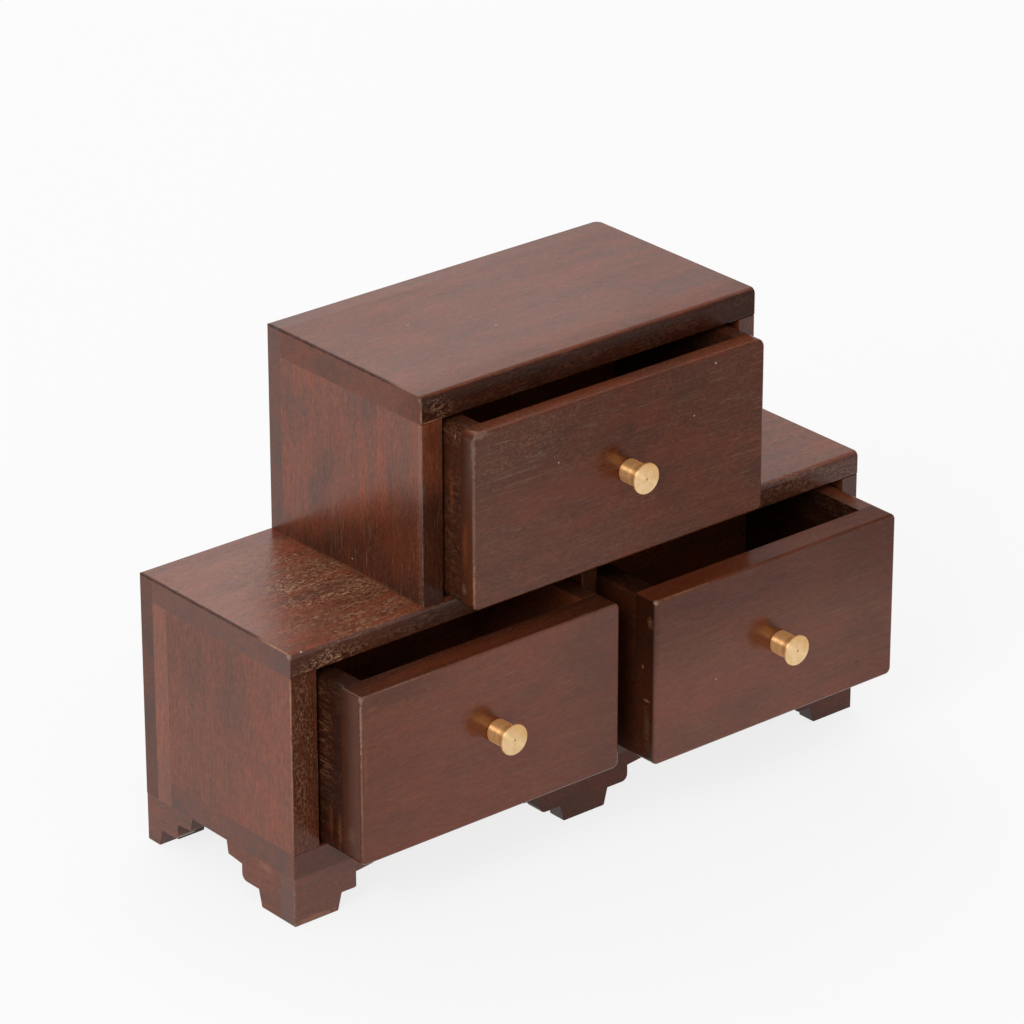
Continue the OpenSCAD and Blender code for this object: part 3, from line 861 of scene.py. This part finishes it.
def turned_knob(node, material):
    """A knob turned around the middle of its CAD node, which it replaces."""
    low, high = BOXES[node]
    centre_x, centre_z = (low[0] + high[0]) / 2, (low[2] + high[2]) / 2
    section = knob_section((high[0] - low[0]) / 2 / MM, (high[1] - low[1]) / MM)
    turns = [2 * math.pi * i / KNOB_SEGMENTS for i in range(KNOB_SEGMENTS)]
    solid = bmesh.new()
    rings = []
    for radius, distance in section:
        y = high[1] - distance * MM
        r = radius * MM
        rings.append([
            solid.verts.new((centre_x + r * math.cos(a), y, centre_z + r * math.sin(a)))
            for a in (turns if r else turns[:1])
        ])
    skin(solid, rings)
    mesh = closed_mesh(node + "_turned", solid)
    smooth_faces(mesh, KNOB_SHARP)
    mesh.materials.append(material)
    stand_in(node, mesh, "_turned")


# ---------- finish of each board, with painted shade and light ---

def grain_axis(node):
    """The axis along which the grain of a board runs."""
    if node.endswith(("foot_side", "drawer_left_side", "drawer_right_side")):
        return "y"
    if node.endswith(("_side", "_post", "_partition")):
        return "z"
    return "x"


# What wood() takes: for each material slot, and for single boards on top of it
CASE_FINISH = dict(tone=1.04, streak=0.45, curl=0.08, wear=0.2)
FRONT_FINISH = dict(streak=0.2, blotch=0.45, grit=0.45, hair=0.3, wear=0.2, rough=0.205)
# The boards inside are darker: painted shade of the inside of the case
INNER_FINISH_AND_SHADE = dict(tone=0.40, streak=0.5, blotch=0.5, curl=0.15, wear=0.2, rough=0.3)
SLOT_FINISH_AND_SHADE = {"case_wood": CASE_FINISH, "front_wood": FRONT_FINISH,
               "drawer_wood": INNER_FINISH_AND_SHADE, "panel_wood": INNER_FINISH_AND_SHADE}
# Their faces and fades paint shade and light: sides and places in shade are darker, those
# that catch more light lighter, and the dims are painted shade in the reflections
OWN_FINISH_AND_PAINTED_LIGHT = {
    "upper_top": dict(tone=1.24, faces={"-y": 0.25}, dull={"-y": 0.5}, seam=True, hair=0.3,
                      fades=[(Y, 16, 4, 0.88)],
                      dims=[(X, 30, -50, 0.80), (Y, 22, 3, 0.66)]),
    "lower_top": dict(tone=1.58, blotch=0.4, curl=0.35, rough=0.32, ior=1.46, seam=True,
                      faces={"-y": 0.48, "-x": 0.66},
                      fades=[(X, 90, 96, 0.95), (Y, 14, 5, 0.85)],
                      dims=[(X, 60, 90, 0.80)]),
    "upper_left_side": dict(tone=1.40, streak=0.55, blotch=0.9, hair=0.4, grit=0.7,
                            ior=1.45, wear=0.25, dull={"-y": 0.5}, faces={"-y": 0.80},
                            fades=[((0, 0.54, 1), 180, 160, 0.42)],
                            dims=[((0, 0.54, 1), 172, 156, 0.42)]),
    "upper_right_side": dict(faces={"-y": 0.66}),
    "upper_back": dict(tone=0.98, faces={"+z": 1.22}, ior=1.49, dull={"+z": 0.92},
                       seam=True),
    "lower_left_side": dict(tone=1.19, streak=0.3, blotch=0.5, grit=0.7, wear=0.3, hair=0.3,
                            faces={"-y": 0.55}, dull={"-y": 0.7}, ior=1.40,
                            fades=[(Y, 45, 8, 1.18), (Z, 60, 100, 0.93)]),
    "lower_right_side": dict(faces={"-y": 0.56}),
    "lower_partition": dict(faces={"-y": 0.40}),
    "lower_floor": dict(tone=1.12, faces={"-y": 0.60}),
    "left_rear_post": dict(tone=1.52, streak=0.3, ior=1.46),
    "lower_back": dict(tone=0.90, faces={"+z": 1.48}, ior=1.46, dull={"-x": 0.73},
                       seam=True),
    "centre_foot": dict(tone=0.79, ior=1.29),
    "front_left_foot_face": dict(tone=1.0, ior=1.5),
    "front_left_foot_side": dict(tone=1.08, ior=1.38),
    "front_right_foot_face": dict(tone=0.82, ior=1.31),
    "upper_drawer_front": dict(tone=0.79, hair=0.40, faces={"+z": 1.50, "-x": 0.90},
                               blotch=0.7, grit=0.55, ior=1.37,
                               dims=[((1, 0, 1), 70, 200, 0.45)],
                               fades=[(Z, 158, 178, 0.82), (Y, -16, -9, 0.75)]),
    "left_drawer_front": dict(tone=1.07, curl=0.04, faces={"+z": 0.48, "-x": 0.74},
                              ior=1.41, dull={"-x": 0.45},
                              dims=[((-1, 0, 1), 150, 235, 0.85)],
                              fades=[(X, -100, -130, 0.92), (X, -50, -8, 0.83),
                                     (Y, -24, -16, 0.70)]),
    "right_drawer_front": dict(tone=1.09, curl=0.05, faces={"+z": 1.10, "-x": 0.38},
                               ior=1.43, dull={"+z": 0.30},
                               dims=[(Z, 60, 106, 0.62), (X, 90, 140, 0.85)],
                               fades=[(Z, 62, 100, 0.60), (X, 90, 140, 0.82)]),
    # Painted shade on the drawer sides that show beside the fronts: darker, most of all
    # towards the front, with the faces that are hidden at rest lighter again. The drawer
    # backs and the left drawer's right side are lighter, painted light inside the case,
    # with darker tops
    "upper_drawer_left_side": dict(tone=0.36),
    "upper_drawer_right_side": dict(faces={"+x": 1.8}),
    "left_drawer_left_side": dict(tone=0.44, curl=0.06, ior=1.30,
                                  fades=[(Y, 10, 0, 0.46)]),
    "right_drawer_left_side": dict(tone=0.44, curl=0.06, faces={"+z": 0.40}, ior=1.33,
                                   dull={"+z": 0.6}, fades=[(Y, 10, 0, 0.75)]),
    "right_drawer_right_side": dict(tone=0.16, faces={"+x": 4.0, "+z": 5.0},
                                    dull={"+z": 0.4}),
    "upper_drawer_back": dict(tone=1.6, faces={"+z": 0.3}),
    "left_drawer_back": dict(tone=1.3, faces={"+z": 0.3}),
    "left_drawer_right_side": dict(tone=1.3, faces={"+z": 0.35, "+x": 0.35}),
    "right_drawer_back": dict(tone=1.2, faces={"+z": 0.15}),
}


# ---------- traces of wear, and painted shade ---

# Linear colours
TRACES = {
    "tan": (0.42, 0.19, 0.10),
    "pale": (0.30, 0.20, 0.15),
    "white": (0.66, 0.58, 0.52),
    "orange": (0.27, 0.070, 0.018),
    "ochre": (0.17, 0.085, 0.045),
    "ruddy": (0.135, 0.028, 0.011),
    "auburn": (0.24, 0.046, 0.015),
    "dark": (0.030, 0.012, 0.007),
    "deep_red": (0.085, 0.016, 0.006),
}

# Places with more scratches: kind, strength, centre and reach in mm
RUBS = {
    "lower_top": [
        ("Curl", 0.9, (-104, 40, 121.5), (34, 46, 3)),
        ("Curl", 1.0, (-127, -0.5, 114.5), (27, 1.5, 5.5)),
    ],
    "upper_top": [("Curl", 0.45, (-78, -0.2, 206), (10, 1, 7))],
    "upper_drawer_front": [
        ("Hair", 0.5, (-52, -17.5, 180), (34, 2, 22)),
        ("Curl", 0.14, (-45, -17.5, 186), (38, 2, 14)),
    ],
    "left_drawer_left_side": [("Stroke", 0.9, (-138, -2, 78), (2, 7, 36))],
    "lower_left_side": [("Curl", 0.45, (-147, 0, 75), (7, 1, 50))],
    "upper_drawer_left_side": [("Stroke", 0.3, (-73.4, -3, 160), (2, 5, 36))],
    "upper_left_side": [("Hair", 0.6, (-85.3, 40, 140), (1, 50, 22))],
}

# Single marks of wear and stain, some of them painted shade: trace, strength,
# centre and reach in mm
MARKS = {
    "lower_top": [
        ("dark", 0.35, (-108, 38.5, 121.5), (26, 7, 2)),
        ("deep_red", 0.45, (-103, 24, 121.5), (20, 8, 2)),
        ("dark", 0.45, (-146, -0.3, 116), (12, 1, 8)),
        # Painted shade on the front edge, between the drawers that stand out above and
        # below
        ("dark", 0.60, (-74, -0.3, 115), (44, 1, 9)),
        ("tan", 0.7, (-152.3, 13, 121.3), (0.6, 19, 0.6)),
        ("pale", 0.8, (-152.2, 0.8, 120.6), (1.3, 1.6, 1.6)),
        ("white", 0.8, (-146.3, 0.6, 120.9), (0.5, 0.6, 0.5)),
        ("pale", 0.5, (-143.1, 18.8, 121.5), (1.4, 0.7, 0.5)),
    ],
    "upper_top": [
        ("white", 0.4, (-42.6, 61.2, 212.5), (0.7, 0.7, 0.5)),
        ("white", 0.4, (-15.4, 38.3, 212.5), (0.7, 0.7, 0.5)),
        ("white", 0.4, (32.0, 38.8, 212.5), (0.7, 0.7, 0.5)),
        ("pale", 0.45, (-85.0, 1.4, 210.8), (0.8, 1.5, 1.4)),
        ("tan", 0.5, (-85.1, 0.4, 204), (0.5, 0.6, 4.0)),
        ("tan", 0.6, (-80, 0.0, 201), (7, 0.8, 0.6)),
    ],
    "upper_left_side": [
        ("dark", 0.20, (-85.3, 55, 180), (1, 14, 22)),
        ("tan", 0.22, (-85.3, 38, 122.0), (1, 44, 0.5)),
        ("ruddy", 0.45, (-85.3, 3.5, 158), (1, 2.5, 44)),
        ("dark", 0.12, (-85.3, 66, 150), (1, 7, 30)),
        ("pale", 0.16, (-85.3, 1.2, 165), (1, 2.4, 75)),
        # Painted shade low on the side, over the lower top
        ("dark", 0.22, (-85.3, 85, 125), (1, 13, 9)),
        ("dark", 0.35, (-80, 0, 194), (6, 1, 10)),
        ("auburn", 0.22, (-85.3, 16, 146), (1, 20, 30)),
    ],
    "lower_left_side": [
        ("dark", 0.10, (-152.5, 63, 92), (1, 10, 14)),
        ("tan", 0.55, (-152.3, 0.3, 100), (0.6, 0.6, 24)),
        ("tan", 0.25, (-152.3, 0.3, 60), (0.5, 0.5, 34)),
    ],
    "left_rear_post": [("orange", 0.4, (-152.5, 82, 68), (1, 0.7, 26))],
    "front_left_foot_face": [
        ("tan", 0.35, (-142, -0.2, 1.4), (14, 1, 1.8)),
        ("pale", 0.25, (-152.2, 0.4, 11), (0.8, 0.8, 13)),
    ],
    "front_left_foot_side": [("tan", 0.2, (-152.5, 19, 19.5), (1, 6, 2))],
    "upper_drawer_front": [
        ("white", 0.5, (54.3, -17.5, 194.9), (0.6, 0.6, 0.6)),
        ("ruddy", 0.35, (-12, -17.5, 162), (64, 1, 9)),
        ("pale", 0.25, (-73.1, -17.2, 162), (0.9, 0.9, 50)),
        ("pale", 0.25, (-73.2, -17.0, 192), (1.4, 1.6, 11)),
        ("pale", 0.30, (-69.5, -17.2, 197.6), (5.5, 1.4, 1.8)),
        ("tan", 0.35, (-73.1, -17.2, 133), (0.8, 0.8, 12)),
        ("orange", 0.30, (-73.4, -12, 149), (1, 2.0, 13)),
        ("pale", 0.25, (-73.4, -11.2, 130), (1, 1.6, 2.8)),
        ("pale", 0.15, (-58, -17.5, 176.4), (26, 1, 0.5)),
        ("pale", 0.13, (-47, -17.5, 172.0), (24, 1, 0.5)),
    ],
    "upper_drawer_left_side": [
        ("orange", 0.30, (-73.4, -3.8, 170), (1, 1.5, 12)),
        ("tan", 0.5, (-73.4, -6.1, 194.5), (0.7, 0.7, 1.3)),
    ],
    "left_drawer_front": [
        # Painted shade along the top of the front
        ("dark", 0.45, (-120, -25.5, 105), (30, 1, 8)),
        ("ruddy", 0.50, (-74, -20, 107.8), (66, 6, 1)),
        ("pale", 0.60, (-137.5, -25.2, 95), (0.6, 0.6, 18)),
        ("pale", 0.35, (-137.5, -25.2, 62), (0.5, 0.5, 36)),
        ("orange", 0.5, (-135.4, -25.5, 77), (0.5, 0.7, 14)),
        ("orange", 0.45, (-132, -25.5, 101), (3.4, 1, 1.1)),
        ("pale", 0.30, (-118, -25.3, 107.4), (24, 0.6, 0.6)),
        ("pale", 0.50, (-137.2, -25.1, 106.6), (1.2, 1.2, 2.0)),
        ("ochre", 0.30, (-138, -19, 44), (1, 3, 5)),
    ],
    "left_drawer_left_side": [
        ("orange", 0.30, (-138, -11.5, 43), (1, 1.8, 9)),
        ("orange", 0.22, (-138, -6, 46), (1, 1.6, 11)),
        # Painted shade on the side, where it shows between the front and the case
        ("dark", 0.45, (-138, -6, 57), (1, 8, 11)),
    ],
    "right_drawer_front": [
        ("pale", 0.7, (8.4, -34.1, 107.0), (1.5, 1.3, 1.5)),
        ("tan", 0.30, (23, -34.2, 107.5), (18, 0.6, 0.6)),
        # Painted shade along the left end of the front, towards its top
        ("dark", 0.30, (8.6, -34.4, 86), (2.6, 1.5, 19)),
        ("tan", 0.18, (7.8, -31.5, 97), (1, 2.0, 3.4)),
        ("tan", 0.45, (7.8, -27.3, 75.8), (1, 0.8, 1.2)),
        ("tan", 0.45, (7.8, -30.0, 61.3), (1, 1.8, 0.8)),
        ("ochre", 0.30, (7.8, -30.2, 49), (1, 2.6, 11)),
        ("deep_red", 0.50, (22, -28, 107.8), (34, 7, 1)),
    ],
}


def dress():
    """Give every board its wood, and every piece of metal its finish."""
    for seed, node in enumerate(BOARDS, 1):
        board = drawer_front(node) if node in FRONT_CORNERS else rubbed_board(node)
        finish_and_shade = {**SLOT_FINISH_AND_SHADE[SLOT_OF[node]], **OWN_FINISH_AND_PAINTED_LIGHT.get(node, {})}
        board.data.materials.clear()
        board.data.materials.append(wood(node, seed, grain_axis(node), **finish_and_shade))
    low, high = BOXES["upper_drawer_knob"]      # the three knobs are alike
    turned_brass = brass((high[0] - low[0]) / MM)
    metals = {slot: steel(slot, colour) for slot, colour in STEELS.items()}
    for node, piece in frame["nodes"].items():
        if SLOT_OF[node] == "knob_brass":
            turned_knob(node, turned_brass)
        elif SLOT_OF[node] in metals:
            piece.data.materials.clear()
            piece.data.materials.append(metals[SLOT_OF[node]])


# ---------- stage and light ----------

BACKDROP = 0.82         # share of plain white in the floor that the camera and gloss see
WORLD_LIGHT = 0.82      # strength of the world where it lights matt surfaces
FLOOR_HALF = 6.0
FLOOR_DROP = 0.2 * MM   # keeps the floor clear of the feet's undersides
FLOOR_COLOUR = (0.8, 0.8, 0.8, 1.0)
# Place and size in metres, power in watts
LAMPS = {"key": ((-2.2, -1.0, 1.7), 1.3, 34), "top": ((0.6, 1.6, 1.9), 1.6, 14)}


def make_stage():
    """A wide white floor that keeps the object's shadow."""
    mesh = bpy.data.meshes.new("floor")
    corners = [(-1, -1), (1, -1), (1, 1), (-1, 1)]
    mesh.from_pydata([(x * FLOOR_HALF, y * FLOOR_HALF, 0) for x, y in corners],
                     [], [(0, 1, 2, 3)])
    floor = bpy.data.objects.new("floor", mesh)
    floor.location.z = -FLOOR_DROP
    bpy.context.scene.collection.objects.link(floor)
    material, g = surface("floor")
    matt = g.node("ShaderNodeBsdfDiffuse")
    g.feed(matt.inputs["Color"], FLOOR_COLOUR)
    glow = g.node("ShaderNodeEmission")
    blend = g.node("ShaderNodeMixShader")
    g.feed(blend.inputs[0], g.times(seen_directly(g), BACKDROP))
    g.feed(blend.inputs[1], matt.outputs[0])
    g.feed(blend.inputs[2], glow.outputs[0])
    g.feed(g.node("ShaderNodeOutputMaterial").inputs[0], blend.outputs[0])
    mesh.materials.append(material)


def seen_directly(g):
    """1 for rays from the camera, a reflection or through glass."""
    path = g.node("ShaderNodeLightPath").outputs
    seen = g.math("MAXIMUM", path["Is Camera Ray"], path["Is Glossy Ray"])
    return g.math("MAXIMUM", seen, path["Is Transmission Ray"])


def make_world():
    """A white world, dimmer where it lights matt surfaces."""
    world = bpy.data.worlds.new("studio")
    world.use_nodes = True
    bpy.context.scene.world = world
    g = Graph(world.node_tree)
    sky = g.node("ShaderNodeBackground")
    g.feed(sky.inputs["Strength"],
           g.add(WORLD_LIGHT, g.times(seen_directly(g), 1 - WORLD_LIGHT)))
    g.feed(g.node("ShaderNodeOutputWorld").inputs[0], sky.outputs[0])


def softbox(name, place, size, power):
    """A square lamp of that size in metres, turned to the object."""
    data = bpy.data.lights.new(name, "AREA")
    data.size = size
    data.energy = power
    lamp = bpy.data.objects.new(name, data)
    lamp.location = place
    lamp.rotation_mode = "QUATERNION"
    lamp.rotation_quaternion = (VIEW_AIM - Vector(place)).to_track_quat("-Z", "Y")
    bpy.context.scene.collection.objects.link(lamp)


# ---------- scene ----------

make_camera()
make_world()
make_stage()
for lamp_name, (lamp_place, lamp_size, lamp_power) in LAMPS.items():
    softbox(lamp_name, lamp_place, lamp_size, lamp_power)
dress()

bpy.context.scene.view_settings.view_transform = "Standard"
